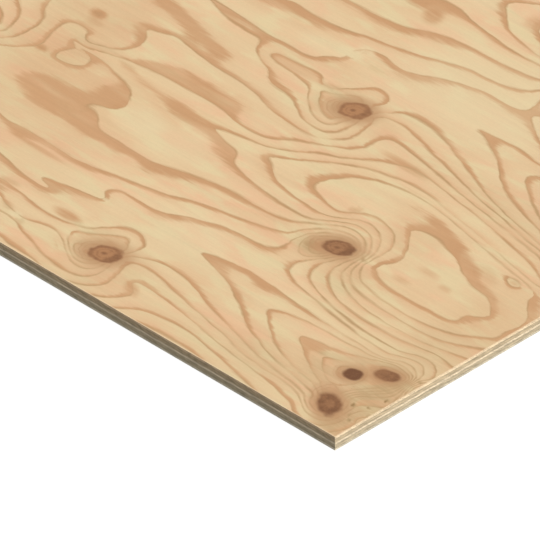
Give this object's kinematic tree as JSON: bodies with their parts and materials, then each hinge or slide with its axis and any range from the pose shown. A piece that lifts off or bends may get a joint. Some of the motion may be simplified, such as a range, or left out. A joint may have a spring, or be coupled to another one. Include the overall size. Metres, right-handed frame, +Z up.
{
  "type": "plywood sheet",
  "caption": "Full-size flat sheet of softwood plywood with a knotty rotary-peeled face and square sawn edges that show the crossed veneers.",
  "frame": {"origin": "on the floor, under the centre of the sheet", "axes": "+X along the sheet's length, which is the way the face grain runs, +Y across its width, +Z up out of the face veneer"},
  "size_m": [2.44, 1.22, 0.018],
  "materials": {
    "face_veneer": "sanded, unfinished knotty pine with plain-cut figure",
    "crossband": "sawn pine, grain across the sheet",
    "core_veneer": "sawn pine, grain along the sheet",
    "back_veneer": "unsanded, unfinished pine with plain-cut figure"
  },
  "bodies": {
    "root": {"face_veneer": "face_veneer", "upper_crossband": "crossband", "core_veneer": "core_veneer", "lower_crossband": "crossband", "back_veneer": "back_veneer"}
  },
  "joints": []
}
